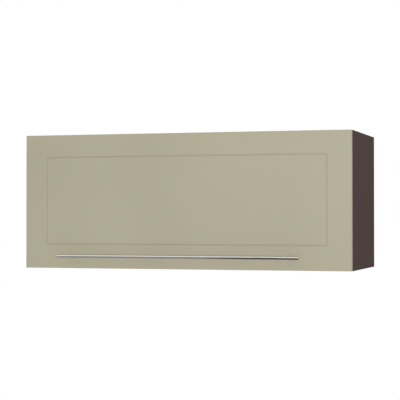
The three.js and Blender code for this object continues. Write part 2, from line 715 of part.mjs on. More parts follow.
// The pressed coil spring that balances the door, between the housing's end walls.
function liftSpring(side) {
  const from = HOUSING_Y[0] + LIFT.wall + SPRING.wire + FIT;
  const to = HOUSING_Y[1] - LIFT.wall - SPRING.wire - FIT;
  const middle = (LIFT.wall + LIFT.housingDepth) / 2;
  const x = side * (SIDE_INNER - middle);
  class Helix extends THREE.Curve {
    getPoint(t, target = new THREE.Vector3()) {
      const angle = 2 * Math.PI * SPRING.turns * t;
      return target.set(
        x + SPRING.radius * Math.cos(angle),
        from + (to - from) * t,
        SPRING_Z + SPRING.radius * Math.sin(angle),
      );
    }
  }
  const section = new THREE.Shape();
  section.absarc(0, 0, SPRING.wire, 0, 2 * Math.PI, false);
  const coil = new THREE.ExtrudeGeometry(section, {
    steps: SPRING.turns * SPRING.stepsPerTurn,
    extrudePath: new Helix(),
    curveSegments: SPRING.sides / 2,
    bevelEnabled: false,
  });
  return toMesh(`lift_spring_${sideName(side)}`, solid(coil), ZINC);
}

function liftLever(side) {
  const plate = inFromSide(side, LEVER_NEAR, LEVER_FAR);
  const outline = barOutline(LEVER_PIVOT, LEVER_PIN, LIFT.leverRadius, LIFT.leverTipRadius);
  const spindle = inFromSide(side, LIFT.wall + FIT, LEVER_FAR);
  const lobeFrom = LIFT.wall + LIFT.bossHeight + FIT;
  const lobe = inFromSide(side, lobeFrom, lobeFrom + LIFT.lobeWidth);
  const pin = inFromSide(side, LEVER_FAR - 1, LINK_FAR + LIFT.layerGap / 2);
  const headFrom = LINK_FAR + LIFT.layerGap / 2;
  const head = inFromSide(side, headFrom, headFrom + LIFT.pinHeadHeight);
  const lever = plateX(outline, plate)
    .add(rodX(LIFT.spindle, spindle, ...LEVER_PIVOT))
    .add(rodX(LIFT.lobeRadius, lobe, LEVER_PIVOT[0] + LIFT.lobeOffset, LEVER_PIVOT[1], 24))
    .add(rodX(LIFT.pin, pin, ...LEVER_PIN))
    .add(rodX(LIFT.pinHead, head, ...LEVER_PIN));
  return toMesh(`lift_lever_${sideName(side)}`, lever, NICKEL);
}

function liftLink(side) {
  let link = plateX(
    barOutline(BRACKET_PIN, LEVER_PIN, LIFT.linkRadius, LIFT.linkRadius),
    inFromSide(side, LINK_NEAR, LINK_FAR),
  );
  for (const pivot of [BRACKET_PIN, LEVER_PIN]) {
    const hole = inFromSide(side, LINK_NEAR - 1, LINK_FAR + 1);
    link = link.subtract(rodX(LIFT.pin + RUN, hole, ...pivot));
  }
  return toMesh(`lift_link_arm_${sideName(side)}`, link, NICKEL);
}

function doorBracket(side) {
  const [pinY, pinZ] = BRACKET_PIN;
  const face = [DOOR_BACK, DOOR_BACK + LIFT.bracketPlate];
  const base = block(
    inFromSide(side, EAR_NEAR, EAR_NEAR + LIFT.bracketWidth),
    face,
    [pinZ - LIFT.bracketHalf, pinZ + LIFT.bracketHalf],
  );
  const ear = inFromSide(side, EAR_NEAR, EAR_FAR);
  const root = block(ear, [DOOR_BACK, pinY], [pinZ - LIFT.earRadius, pinZ + LIFT.earRadius]);
  const pin = inFromSide(side, LINK_NEAR - LIFT.layerGap / 2, EAR_FAR);
  const headTo = LINK_NEAR - LIFT.layerGap / 2;
  const head = inFromSide(side, headTo - LIFT.pinHeadHeight, headTo);
  const bracket = base
    .add(root)
    .add(rodX(LIFT.earRadius, ear, pinY, pinZ))
    .add(rodX(LIFT.pin, pin, pinY, pinZ))
    .add(rodX(LIFT.pinHead, head, pinY, pinZ));
  return toMesh(`lift_door_bracket_${sideName(side)}`, bracket, NICKEL);
}

function liftUnits() {
  const group = new THREE.Group();
  for (const side of [-1, 1]) {
    group.add(
      liftHousing(side),
      liftCover(side),
      liftSpring(side),
      liftLever(side),
      liftLink(side),
      doorBracket(side),
    );
  }
  return group;
}

// ---------------------------------------------------------------- the cabinet
const cabinet = new THREE.Group();
cabinet.name = 'lift_up_wall_cabinet';
cabinet.add(carcass(), wallHangers(), door(), cupHinges(), liftUnits());

export default cabinet;
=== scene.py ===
"""Looks of the lift-up wall cabinet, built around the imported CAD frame.

All lengths are in metres, in the frame's own axes: +X is right, -Y is the front, +Z is up.
"""
import json
import math

import bmesh
import bpy
from mathutils import Matrix, Vector


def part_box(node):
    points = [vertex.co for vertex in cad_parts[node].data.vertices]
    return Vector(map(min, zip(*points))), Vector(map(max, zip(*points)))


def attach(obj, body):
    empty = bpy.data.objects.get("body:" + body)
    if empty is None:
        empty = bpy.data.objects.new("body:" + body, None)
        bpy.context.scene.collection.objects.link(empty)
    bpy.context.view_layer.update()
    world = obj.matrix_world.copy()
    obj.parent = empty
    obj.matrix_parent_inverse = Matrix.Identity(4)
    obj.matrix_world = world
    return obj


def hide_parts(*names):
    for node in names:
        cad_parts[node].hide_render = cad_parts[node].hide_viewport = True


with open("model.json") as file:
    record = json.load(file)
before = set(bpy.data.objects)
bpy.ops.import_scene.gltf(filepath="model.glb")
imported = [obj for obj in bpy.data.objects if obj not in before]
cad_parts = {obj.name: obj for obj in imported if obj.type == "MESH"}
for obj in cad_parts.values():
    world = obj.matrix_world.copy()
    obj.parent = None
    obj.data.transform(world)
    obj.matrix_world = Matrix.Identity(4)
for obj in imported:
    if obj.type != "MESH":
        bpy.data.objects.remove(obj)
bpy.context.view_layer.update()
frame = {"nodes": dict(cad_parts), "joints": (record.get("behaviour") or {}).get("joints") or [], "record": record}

NODES = frame["nodes"]
JOINTS = {joint["name"]: joint for joint in frame["joints"]}
SIDES = {"left": -1, "right": 1}  # the sign of X on each side
MM = 0.001

# ------------------------------------------------------------------ places taken from the frame
DOOR_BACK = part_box("door_panel")[1].y
SIDE_LOW, SIDE_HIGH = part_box("side_panel_right")
CARCASS_FRONT = SIDE_LOW.y
CARCASS_REAR = SIDE_HIGH.y
PANEL = SIDE_HIGH.x - SIDE_LOW.x
BACK_LOW, BACK_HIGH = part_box("back_panel")


def middle(node):
    low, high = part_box(node)
    return (low + high) / 2


def add_object(name, data):
    made = bpy.data.objects.new(name, data)
    bpy.context.scene.collection.objects.link(made)
    return made


# ------------------------------------------------------------------ camera
FRAME_PIXELS = 400
FOCAL_PIXELS = 1309.9
SENSOR_WIDTH = 36  # in millimetres, as the lens is
CAMERA_PLACE = (1.0465, -3.6343, -0.0441)
CAMERA_YAW = 0.2950
CAMERA_PITCH = 0.0136
CLIP_NEAR = 0.05
CLIP_FAR = 60


def make_camera():
    """The photograph's viewing angle: from the right, at the height of the cabinet's middle."""
    data = bpy.data.cameras.new("photo_camera")
    data.sensor_width = SENSOR_WIDTH
    data.lens = SENSOR_WIDTH * FOCAL_PIXELS / FRAME_PIXELS
    data.clip_start = CLIP_NEAR
    data.clip_end = CLIP_FAR
    camera = add_object("photo_camera", data)
    camera.location = CAMERA_PLACE
    camera.rotation_euler = (math.pi / 2 + CAMERA_PITCH, 0, CAMERA_YAW)
    bpy.context.scene.camera = camera


# ------------------------------------------------------------------ node helpers
NOISE_LOW = 0.35  # most noise values lie between these two
NOISE_HIGH = 0.65
BEVEL_SAMPLES = 4


class Nodes:
    """Short calls that add and join nodes in one node tree."""

    def __init__(self, tree):
        self.tree = tree

    def node(self, kind, **settings):
        made = self.tree.nodes.new(kind)
        for key, value in settings.items():
            setattr(made, key, value)
        return made

    def link(self, source, target):
        self.tree.links.new(source, target)

    def feed(self, target, value):
        """Links a socket to another one, or gives it a number or a linear colour."""
        if isinstance(value, bpy.types.NodeSocket):
            self.link(value, target)
        elif isinstance(value, (int, float)):
            target.default_value = value
        else:
            target.default_value = (*value, 1)

    def place(self):
        """Position in the object's own space, which for a CAD node is the frame at rest."""
        return self.node("ShaderNodeTexCoord").outputs["Object"]

    def axis(self, name):
        parts = self.node("ShaderNodeSeparateXYZ")
        self.link(self.place(), parts.inputs[0])
        return parts.outputs[name]

    def calculate(self, operation, first, second):
        made = self.node("ShaderNodeMath", operation=operation)
        self.feed(made.inputs[0], first)
        self.feed(made.inputs[1], second)
        return made.outputs[0]

    def spread(self, value, low, high, low_in=NOISE_LOW, high_in=NOISE_HIGH):
        """Maps values between low_in and high_in to the range from low to high, and clamps them."""
        mapped = self.node("ShaderNodeMapRange")
        mapped.inputs["From Min"].default_value = low_in
        mapped.inputs["From Max"].default_value = high_in
        mapped.inputs["To Min"].default_value = low
        mapped.inputs["To Max"].default_value = high
        self.link(value, mapped.inputs["Value"])
        return mapped.outputs["Result"]

    def mix_shaders(self, factor, first, second):
        mixer = self.node("ShaderNodeMixShader")
        self.link(factor, mixer.inputs["Fac"])
        self.link(first, mixer.inputs[1])
        self.link(second, mixer.inputs[2])
        return mixer.outputs[0]


class Shader(Nodes):
    """A node material with a Principled shader and short calls for what feeds it."""

    def __init__(self, name):
        self.material = bpy.data.materials.new(name)
        self.material.use_nodes = True
        super().__init__(self.material.node_tree)
        self.bsdf = self.tree.nodes["Principled BSDF"]
        self.normal = None

    def noise(self, scale, detail, stretch=(1, 1, 1), distortion=0.0):
        """Noise over the object's own metres; a stretch under 1 makes it longer along that axis."""
        mapping = self.node("ShaderNodeMapping")
        mapping.inputs["Scale"].default_value = stretch
        self.link(self.place(), mapping.inputs["Vector"])
        texture = self.node("ShaderNodeTexNoise")
        texture.inputs["Scale"].default_value = scale
        texture.inputs["Detail"].default_value = detail
        texture.inputs["Distortion"].default_value = distortion
        self.link(mapping.outputs["Vector"], texture.inputs["Vector"])
        return texture.outputs["Fac"]

    def mix(self, factor, first, second, blend="MIX"):
        mixer = self.node("ShaderNodeMix", data_type="RGBA", blend_type=blend)
        color_a, color_b = (socket for socket in mixer.inputs if socket.type == "RGBA")
        self.feed(mixer.inputs["Factor"], factor)
        self.feed(color_a, first)
        self.feed(color_b, second)
        return next(out for out in mixer.outputs if out.type == "RGBA")

    def grey(self, value):
        combined = self.node("ShaderNodeCombineColor")
        for socket in combined.inputs:
            self.link(value, socket)
        return combined.outputs[0]

    def tinted(self, color, tone):
        """A colour times a tone that varies around 1."""
        return self.mix(1.0, color, self.grey(tone), blend="MULTIPLY")

    def color(self, value):
        self.link(value, self.bsdf.inputs["Base Color"])

    def roughness(self, value):
        self.link(value, self.bsdf.inputs["Roughness"])

    def set(self, socket, value):
        self.bsdf.inputs[socket].default_value = value

    def round_edges(self, radius):
        """Shades edges as if rounded. It comes before the bump layers."""
        bevel = self.node("ShaderNodeBevel", samples=BEVEL_SAMPLES)
        bevel.inputs["Radius"].default_value = radius
        self.normal = bevel.outputs["Normal"]

    def bump(self, height, strength, distance):
        """Adds a bump layer over the normal so far; its distance is in metres."""
        layer = self.node("ShaderNodeBump")
        layer.inputs["Strength"].default_value = strength
        layer.inputs["Distance"].default_value = distance
        self.link(height, layer.inputs["Height"])
        if self.normal is not None:
            self.link(self.normal, layer.inputs["Normal"])
        self.normal = layer.outputs["Normal"]
        self.link(self.normal, self.bsdf.inputs["Normal"])


def linear(*channels):
    """Linear colour from 8-bit sRGB."""
    values = (c / 255 for c in channels)
    return tuple(v / 12.92 if v <= 0.04045 else ((v + 0.055) / 1.055) ** 2.4 for v in values)


def scaled(color, factor):
    return tuple(c * factor for c in color)


# ------------------------------------------------------------------ materials
DOOR_BEIGE = linear(178, 172, 149)
LAMINATE_BROWN = linear(80, 65, 62)
CHIP_DARK = linear(150, 118, 80)
CHIP_LIGHT = linear(203, 172, 128)
FIBRE_DARK = linear(112, 78, 48)
FIBRE_LIGHT = linear(148, 110, 72)
FIBRE_BLOTCH = linear(120, 86, 56)
NICKEL = linear(208, 206, 201)
ZINC = linear(188, 191, 195)
STEEL_DARK = linear(216, 214, 209)
STEEL_LIGHT = linear(236, 234, 229)
PLASTIC_GREY = linear(176, 179, 181)
RUBBER_DARK = linear(222, 222, 216)
RUBBER_LIGHT = linear(238, 238, 234)

EDGE_BAND = 1.0 * MM  # thickness of the band on the panels' front edges
BAND_JOINT = 0.12 * MM  # the dark line where band and board meet
CUT_FACE = 0.02 * MM  # what lies this near the panels' rear face is bare board
INNER_SKIN = 0.5 * MM  # the laminated side of the back sheet


def door_finish():
    """Matte film on fibreboard: an even beige with a fine dimpled surface."""
    shader = Shader("door_matte_film")
    clouds = shader.spread(shader.noise(scale=3, detail=1), 0, 1)
    base = shader.mix(clouds, scaled(DOOR_BEIGE, 0.975), scaled(DOOR_BEIGE, 1.025))
    specks = shader.spread(shader.noise(scale=1400, detail=2), 0.985, 1.015)
    shader.color(shader.tinted(base, specks))
    shader.roughness(shader.spread(shader.noise(scale=40, detail=3), 0.46, 0.54))
    shader.set("Specular IOR Level", 0.35)
    waves = shader.noise(scale=25, detail=1)
    dimples = shader.noise(scale=700, detail=2)
    shader.bump(waves, strength=0.06, distance=0.4 * MM)
    shader.bump(dimples, strength=0.05, distance=0.15 * MM)
    return shader.material


def carcass_laminate(grain_axis):
    """Dark brown melamine with a faint pore grain, an edge band in front and raw board behind."""
    shader = Shader(f"carcass_laminate_{grain_axis}")
    stretch = {"x": (0.06, 1, 1), "z": (1, 1, 0.06)}[grain_axis]
    pores = shader.noise(scale=420, detail=4, stretch=stretch, distortion=0.4)
    streaks = shader.noise(scale=60, detail=2, stretch=stretch)
    tone = shader.calculate(
        "MULTIPLY", shader.spread(pores, 0.95, 1.05), shader.spread(streaks, 0.97, 1.03),
    )
    face = shader.tinted(LAMINATE_BROWN, tone)
    depth = shader.axis("Y")
    past_band = shader.calculate("GREATER_THAN", depth, CARCASS_FRONT + EDGE_BAND)
    past_joint = shader.calculate("GREATER_THAN", depth, CARCASS_FRONT + EDGE_BAND + BAND_JOINT)
    joint = shader.calculate("SUBTRACT", past_band, past_joint)
    face = shader.mix(joint, face, scaled(LAMINATE_BROWN, 0.45))
    chips = shader.noise(scale=350, detail=5, distortion=1.2)
    board = shader.mix(shader.spread(chips, 0, 1), CHIP_DARK, CHIP_LIGHT)
    raw = shader.calculate("GREATER_THAN", depth, CARCASS_REAR - CUT_FACE)
    shader.color(shader.mix(raw, face, board))
    shader.roughness(shader.spread(pores, 0.52, 0.64))
    shader.set("Specular IOR Level", 0.25)
    shader.round_edges(0.5 * MM)
    shader.bump(pores, strength=0.1, distance=0.08 * MM)
    return shader.material


def hardboard():
    """Back sheet: laminated towards the inside, raw pressed fibre towards the wall."""
    shader = Shader("back_sheet")
    fibres = shader.noise(scale=500, detail=6, stretch=(1, 1, 0.5), distortion=2.5)
    blotches = shader.noise(scale=9, detail=3)
    raw = shader.mix(shader.spread(fibres, 0, 1), FIBRE_DARK, FIBRE_LIGHT)
    raw = shader.mix(shader.spread(blotches, 0, 0.35), raw, FIBRE_BLOTCH)
    inside = shader.calculate("LESS_THAN", shader.axis("Y"), BACK_LOW.y + INNER_SKIN)
    shader.color(shader.mix(inside, raw, LAMINATE_BROWN))
    shader.roughness(shader.spread(fibres, 0.55, 0.8))
    shader.bump(fibres, strength=0.25, distance=0.2 * MM)
    return shader.material


def plated(name, color, roughness, metallic):
    """Plated pressed steel: clouded colour, uneven gloss and softly rounded edges."""
    shader = Shader(name)
    clouds = shader.spread(shader.noise(scale=90, detail=3), 0, 1)
    shader.color(shader.mix(clouds, scaled(color, 0.9), color))
    shader.set("Metallic", metallic)
    marks = shader.noise(scale=420, detail=3)
    shader.roughness(shader.spread(marks, roughness - 0.04, roughness + 0.05))
    shader.round_edges(0.25 * MM)
    shader.bump(marks, strength=0.012, distance=0.03 * MM)
    return shader.material


def brushed_steel():
    """Satin stainless steel with hairlines along the bar."""
    shader = Shader("brushed_handle_steel")
    hairlines = shader.noise(scale=2600, detail=2, stretch=(0.01, 1, 1))
    shader.color(shader.mix(shader.spread(hairlines, 0, 1), STEEL_DARK, STEEL_LIGHT))
    shader.set("Metallic", 1)
    shader.roughness(shader.spread(hairlines, 0.17, 0.25))
    shader.bump(hairlines, strength=0.04, distance=0.02 * MM)
    return shader.material


def grey_plastic():
    """Moulded plastic with a fine grain and rounded edges."""
    shader = Shader("grey_moulded_plastic")
    clouds = shader.spread(shader.noise(scale=30, detail=2), 0, 1)
    shader.color(shader.mix(clouds, scaled(PLASTIC_GREY, 0.95), PLASTIC_GREY))
    grain = shader.noise(scale=1600, detail=2)
    shader.roughness(shader.spread(grain, 0.42, 0.6))
    shader.round_edges(0.4 * MM)
    shader.bump(grain, strength=0.15, distance=0.06 * MM)
    return shader.material


def clear_rubber():
    """Clear, slightly hazy rubber."""
    shader = Shader("clear_bumper")
    haze = shader.spread(shader.noise(scale=600, detail=2), 0, 1)
    shader.color(shader.mix(haze, RUBBER_DARK, RUBBER_LIGHT))
    shader.roughness(shader.spread(haze, 0.2, 0.35, low_in=0, high_in=1))
    shader.set("Transmission Weight", 0.6)
    shader.set("IOR", 1.48)
    return shader.material


def make_materials():
    """Materials by record slot; the laminate has one for each grain direction."""
    return {
        "laminate_x": carcass_laminate("x"),
        "laminate_z": carcass_laminate("z"),
        "door_finish": door_finish(),
        "hardboard": hardboard(),
        "nickel_steel": plated("nickel_plated_steel", NICKEL, roughness=0.32, metallic=0.95),
        "zinc_steel": plated("zinc_plated_steel", ZINC, roughness=0.46, metallic=0.85),
        "handle_steel": brushed_steel(),
        "grey_plastic": grey_plastic(),
        "bumper_rubber": clear_rubber(),
    }


def dress_nodes(materials):
    """Every CAD node gets the material of its record slot."""
    slots = {entry["node"]: entry["material_slot"] for entry in frame["record"]["subparts"]}
    for name, node in NODES.items():
        slot = slots[name]
        if slot == "carcass_laminate":
            slot = "laminate_z" if name.startswith("side_panel") else "laminate_x"
        node.data.materials.clear()
        node.data.materials.append(materials[slot])


# ------------------------------------------------------------------ mesh helpers
SHARP_ANGLE = math.radians(35)


def mesh_from(name, bm):
    mesh = bpy.data.meshes.new(name)
    bm.to_mesh(mesh)
    bm.free()
    return mesh


def finish_mesh(name, bm, material, body):
    """Turns a bmesh into a piece with smooth shading that breaks at sharp edges."""
    bmesh.ops.recalc_face_normals(bm, faces=bm.faces)
    for face in bm.faces:
        face.smooth = True
    for edge in bm.edges:
        edge.smooth = len(edge.link_faces) == 2 and edge.calc_face_angle(0) < SHARP_ANGLE
    mesh = mesh_from(name, bm)
    mesh.materials.append(material)
    piece = add_object(name, mesh)
    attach(piece, body)
    return piece


def facing(axis, place):
    """A matrix that turns local +Z to an axis and moves the origin to a place."""
    return Matrix.Translation(place) @ Vector(axis).to_track_quat("Z", "Y").to_matrix().to_4x4()


def lathe(bm, profile, matrix, segments):
    """A turned body: (radius, height) points from one end of its axis to the other."""
    rings = []
    for radius, height in profile:
        if radius == 0:
            rings.append([bm.verts.new(matrix @ Vector((0, 0, height)))])
            continue
        ring = []
        for i in range(segments):
            angle = 2 * math.pi * i / segments
            point = Vector((radius * math.cos(angle), radius * math.sin(angle), height))
            ring.append(bm.verts.new(matrix @ point))
        rings.append(ring)
    for lower, upper in zip(rings, rings[1:]):
        for i in range(segments):
            j = (i + 1) % segments
            quad = [
                lower[i % len(lower)],
                lower[j % len(lower)],
                upper[j % len(upper)],
                upper[i % len(upper)],
            ]
            distinct = list(dict.fromkeys(quad))
            if len(distinct) > 2:
                bm.faces.new(distinct)


def arc(centre, radius, start, end, steps):
    """Points (radius, height) along an arc in a lathe profile, angles in degrees."""
    points = []
    for i in range(steps + 1):
        angle = math.radians(start + (end - start) * i / steps)
        points.append((centre[0] + radius * math.cos(angle), centre[1] + radius * math.sin(angle)))
    return points


def dome(radius, base, top, start, steps):
    """The end of a lathe profile: a dome over base, from a start angle in degrees to its top."""
    curve = arc((0, 0), radius=1, start=start, end=90, steps=steps)[:-1]
    return [*((radius * x, base + (top - base) * y) for x, y in curve), (0, top)]


SCREW_SEGMENTS = 28
SCREW_RIM = 0.35  # height of a screw head's rim, as a share of the head's height
TIP_TAPER = 0.8  # a shank's tip radius, as a share of the shank's
TIP_START = 0.97  # where that taper starts, as a share of the shank's length
RECESS_REACH = 0.55  # half length of the cross recess, as a share of the head's radius
RECESS_ARM = 0.13  # half width of its bars, likewise
RECESS_FLOOR = (0.55, 0.8, 0.05)  # how a bar is scaled at its floor, and its height there
RECESS_MOUTH = (1.15, 1.0, 1.6)  # the same above the head


def recess_cutter(radius, height):
    """Two crossed bars that widen upwards, to be cut out of a screw head."""
    bm = bmesh.new()
    reach = radius * RECESS_REACH
    arm = radius * RECESS_ARM
    for half_x, half_y in ((reach, arm), (arm, reach)):
        for vert in bmesh.ops.create_cube(bm, size=2)["verts"]:
            scale_x, scale_y, level = RECESS_FLOOR if vert.co.z < 0 else RECESS_MOUTH
            vert.co = Vector((
                vert.co.x * half_x * scale_x,
                vert.co.y * half_y * scale_y,
                height * level,
            ))
    return add_object("cutter", mesh_from("cutter", bm))


def screw_mesh(radius, height, shank=0.0, shank_radius=0.0):
    """A domed screw head with a cross recess, its seat at z = 0, facing +Z."""
    profile = [(0, -shank)]
    if shank:
        profile += [
            (shank_radius * TIP_TAPER, -shank),
            (shank_radius, -shank * TIP_START),
            (shank_radius, 0),
        ]
    profile += [(radius, 0), *dome(radius, height * SCREW_RIM, height, start=0, steps=6)]
    bm = bmesh.new()
    lathe(bm, profile, Matrix.Identity(4), SCREW_SEGMENTS)
    bmesh.ops.recalc_face_normals(bm, faces=bm.faces)
    head = add_object("screw_head", mesh_from("screw_head", bm))
    cutter = recess_cutter(radius, height)
    cut = head.modifiers.new("cut", "BOOLEAN")
    cut.object = cutter
    cut.solver = "EXACT"
    cut.use_self = True
    graph = bpy.context.evaluated_depsgraph_get()
    result = bpy.data.meshes.new_from_object(head.evaluated_get(graph))
    for helper in (head, cutter):
        bpy.data.objects.remove(helper)
    return result


def copies(name, mesh, matrices, material, body):
    """One piece that holds a copy of a mesh at each matrix."""
    bm = bmesh.new()
    for matrix in matrices:
        start = len(bm.verts)
        bm.from_mesh(mesh)
        bm.verts.ensure_lookup_table()
        bmesh.ops.transform(bm, matrix=matrix, verts=bm.verts[start:])
    return finish_mesh(name, bm, material, body)


# ------------------------------------------------------------------ handle and bumpers
BAR_SEGMENTS = 64
BAR_EDGE = 0.5 * MM  # radius of the bar's rounded ends
POST_SEGMENTS = 40
POST_EDGE = 0.3 * MM  # bevels of the collar
POST_COLLAR = 1.2 * MM  # height of the full collar on the door
POST_WAIST = 0.35 * MM  # how much slimmer the post is between collar and seat
POST_SEAT = 2 * MM  # length of the full seat against the bar
POST_FLARE = 1 * MM  # length over which the waist widens to the seat
HANDLE_SCREW_HEAD = 2.4 * MM  # height of the head
HANDLE_SCREW_SHANK = 1.9 * MM  # radius of the shank
BUMPER_SEGMENTS = 32
BUMPER_RIM = 0.25  # height of a bumper's straight side, as a share of its height


def handle_bar(materials):
    """The round bar, with slightly rounded ends."""
    low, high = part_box("handle_bar")
    radius = (high.z - low.z) / 2
    centre = middle("handle_bar")
    length = high.x - low.x
    face_radius = radius - BAR_EDGE
    edge = arc((face_radius, BAR_EDGE), BAR_EDGE, start=-90, end=0, steps=3)[1:]
    profile = [(0, 0), (face_radius, 0), *edge]
    profile += [(r, length - h) for r, h in reversed(profile)]
    bm = bmesh.new()
    lathe(bm, profile, facing((1, 0, 0), (low.x, centre.y, centre.z)), BAR_SEGMENTS)
    piece = finish_mesh("handle_bar_turned", bm, materials["handle_steel"], "door")
    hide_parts("handle_bar")


def handle_post(side_name, materials):
    """A turned post: a slim collar on the door, a waist and a seat against the bar."""
    node = f"handle_post_{side_name}"
    low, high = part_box(node)
    centre = middle(node)
    radius = (high.x - low.x) / 2
    length = high.y - low.y
    waist = radius - POST_WAIST
    profile = [
        (0, 0),
        (radius - POST_EDGE, 0),
        (radius, POST_EDGE),
        (radius, POST_COLLAR),
        (waist, POST_COLLAR + POST_EDGE),
        (waist, length - POST_SEAT - POST_FLARE),
        (radius, length - POST_SEAT),
        (radius, length),
        (0, length),
    ]
    bm = bmesh.new()
    lathe(bm, profile, facing((0, -1, 0), (centre.x, high.y, centre.z)), POST_SEGMENTS)
    piece = finish_mesh(f"{node}_turned", bm, materials["handle_steel"], "door")
    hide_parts(node)


def handle_screw(side_name, materials):
    """A cross-head screw from the door's back into the post."""
    node = f"handle_screw_{side_name}"
    low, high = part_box(node)
    centre = middle(node)
    radius = (high.x - low.x) / 2
    shank = (high.y - low.y) - HANDLE_SCREW_HEAD
    mesh = screw_mesh(radius, HANDLE_SCREW_HEAD, shank=shank, shank_radius=HANDLE_SCREW_SHANK)
    piece = copies(
        f"{node}_cross_head", mesh, [facing((0, 1, 0), (centre.x, DOOR_BACK, centre.z))],
        materials["zinc_steel"], "door",
    )
    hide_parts(node)


def door_bumper(side_name, materials):
    """A domed bumper on the door's back."""
    node = f"door_bumper_{side_name}"
    low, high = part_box(node)
    centre = middle(node)
    radius = (high.x - low.x) / 2
    height = high.y - low.y
    profile = [
        (0, 0),
        (radius, 0),
        (radius, height * BUMPER_RIM),
        *dome(radius, 0, height, start=15, steps=7),
    ]
    bm = bmesh.new()
    lathe(bm, profile, facing((0, 1, 0), (centre.x, low.y, centre.z)), BUMPER_SEGMENTS)
    piece = finish_mesh(f"{node}_domed", bm, materials["bumper_rubber"], "door")
    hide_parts(node)


# ------------------------------------------------------------------ small fasteners
CUP_RADIUS = 17.2 * MM
CUP_SCREW = (3.4 * MM, 0.9 * MM)  # head radius and height; the plate has the same screws
CUP_SCREW_SPREAD = 22.5 * MM  # to each side of the cup's centre
CUP_SCREW_DROP = 9.5 * MM  # below the cup's centre
PLATE_SCREW_SPREAD = 16 * MM  # to each side of the mounting plate's centre
PLATE_WING = 2 * MM  # thickness of the mounting plate's wings
ARM_SCREW = (3.0 * MM, 1.2 * MM)
ARM_SCREW_OFFSETS = (-14 * MM, 12 * MM)  # in front of and behind the mounting plate's centre
ARM_DEPTH = 10 * MM  # from the arm's upper edge to the underside of its web

COVER_SCREW = (3.0 * MM, 0.9 * MM)
COVER_SCREW_INSET = 9 * MM  # from the edges of the lift cover
LEVER_GAP = 0.5 * MM  # between link arm and lever
RIVET_RADIUS = 6 * MM
RIVET_HEIGHT = 0.4 * MM
RIVET_SEGMENTS = 32
BRACKET_SCREW = (3.6 * MM, 1.1 * MM)
BRACKET_PLATE = 2.5 * MM
BRACKET_SCREW_INSET = 11 * MM  # from the bracket's inner edge
BRACKET_SCREW_SPREAD = 18 * MM  # above and below the bracket's middle

NAIL_RADIUS = 1.3 * MM
NAIL_HEIGHT = 0.35 * MM
NAIL_PROFILE = ((0, 0), (1, 0), (0.9, 0.6), (0.5, 1), (0, 1))  # shares of radius and height
NAIL_SEGMENTS = 16
NAIL_COLUMNS = 9  # nails along the upper and lower edge
NAIL_SPACES = 4  # spaces between nails along the left and right edge


def hinge_screws(side_name, materials):
    """Cup, plate and arm screws of one hinge."""
    cup_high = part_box(f"hinge_cup_{side_name}")[1]
    cup = middle(f"hinge_cup_{side_name}")
    plate_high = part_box(f"hinge_mounting_plate_{side_name}")[1]
    plate = middle(f"hinge_mounting_plate_{side_name}")
    arm_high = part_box(f"hinge_arm_{side_name}")[1]
    small = screw_mesh(*CUP_SCREW)
    cup_z = cup_high.z - CUP_RADIUS - CUP_SCREW_DROP
    spread = (-CUP_SCREW_SPREAD, CUP_SCREW_SPREAD)
    copies(
        f"hinge_cup_screws_{side_name}", small,
        [facing((0, 1, 0), (cup.x + dx, cup_high.y, cup_z)) for dx in spread],
        materials["zinc_steel"], "door",
    )
    wing_z = plate_high.z - PLATE_WING
    spread = (-PLATE_SCREW_SPREAD, PLATE_SCREW_SPREAD)
    copies(
        f"hinge_plate_screws_{side_name}", small,
        [facing((0, 0, -1), (plate.x + dx, plate.y, wing_z)) for dx in spread],
        materials["zinc_steel"], "cabinet_body",
    )
    web_z = arm_high.z - ARM_DEPTH
    copies(
        f"hinge_arm_screws_{side_name}", screw_mesh(*ARM_SCREW),
        [facing((0, 0, -1), (plate.x, plate.y + dy, web_z)) for dy in ARM_SCREW_OFFSETS],
        materials["nickel_steel"], "cabinet_body",
    )


def lift_cover_screws(side_name, materials):
    """A screw in each corner of one lift unit's cover."""
    side = SIDES[side_name]
    low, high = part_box(f"lift_cover_{side_name}")
    face_x = low.x if side > 0 else high.x
    rows = (low.y + COVER_SCREW_INSET, high.y - COVER_SCREW_INSET)
    levels = (low.z + COVER_SCREW_INSET, high.z - COVER_SCREW_INSET)
    copies(
        f"lift_cover_screws_{side_name}", screw_mesh(*COVER_SCREW),
        [facing((-side, 0, 0), (face_x, y, z)) for y in rows for z in levels],
        materials["zinc_steel"], "cabinet_body",
    )


def lift_lever_rivet(side_name, materials):
    """The low rivet head on the lever's pivot."""
    side = SIDES[side_name]
    pivot = Vector(JOINTS[f"lever_{side_name}_turn"]["pos_m"])
    link_low, link_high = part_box(f"lift_link_arm_{side_name}")
    lever_x = (link_high.x + LEVER_GAP) if side > 0 else (link_low.x - LEVER_GAP)
    profile = [
        (0, 0),
        (RIVET_RADIUS, 0),
        *dome(RIVET_RADIUS, 0, RIVET_HEIGHT, start=10, steps=5),
    ]
    bm = bmesh.new()
    lathe(bm, profile, facing((-side, 0, 0), (lever_x, pivot.y, pivot.z)), RIVET_SEGMENTS)
    finish_mesh(
        f"lift_lever_rivet_{side_name}", bm,
        materials["nickel_steel"], f"lever_{side_name}",
    )


def lift_bracket_screws(side_name, materials):
    """Two screws that hold one lift unit's bracket on the door."""
    side = SIDES[side_name]
    low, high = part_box(f"lift_door_bracket_{side_name}")
    centre_z = middle(f"lift_door_bracket_{side_name}").z
    inner_edge = low.x if side > 0 else high.x
    x = inner_edge + side * BRACKET_SCREW_INSET
    plate_y = DOOR_BACK + BRACKET_PLATE
    spread = (-BRACKET_SCREW_SPREAD, BRACKET_SCREW_SPREAD)
    copies(
        f"lift_bracket_screws_{side_name}", screw_mesh(*BRACKET_SCREW),
        [facing((0, 1, 0), (x, plate_y, centre_z + dz)) for dz in spread],
        materials["zinc_steel"], "door",
    )


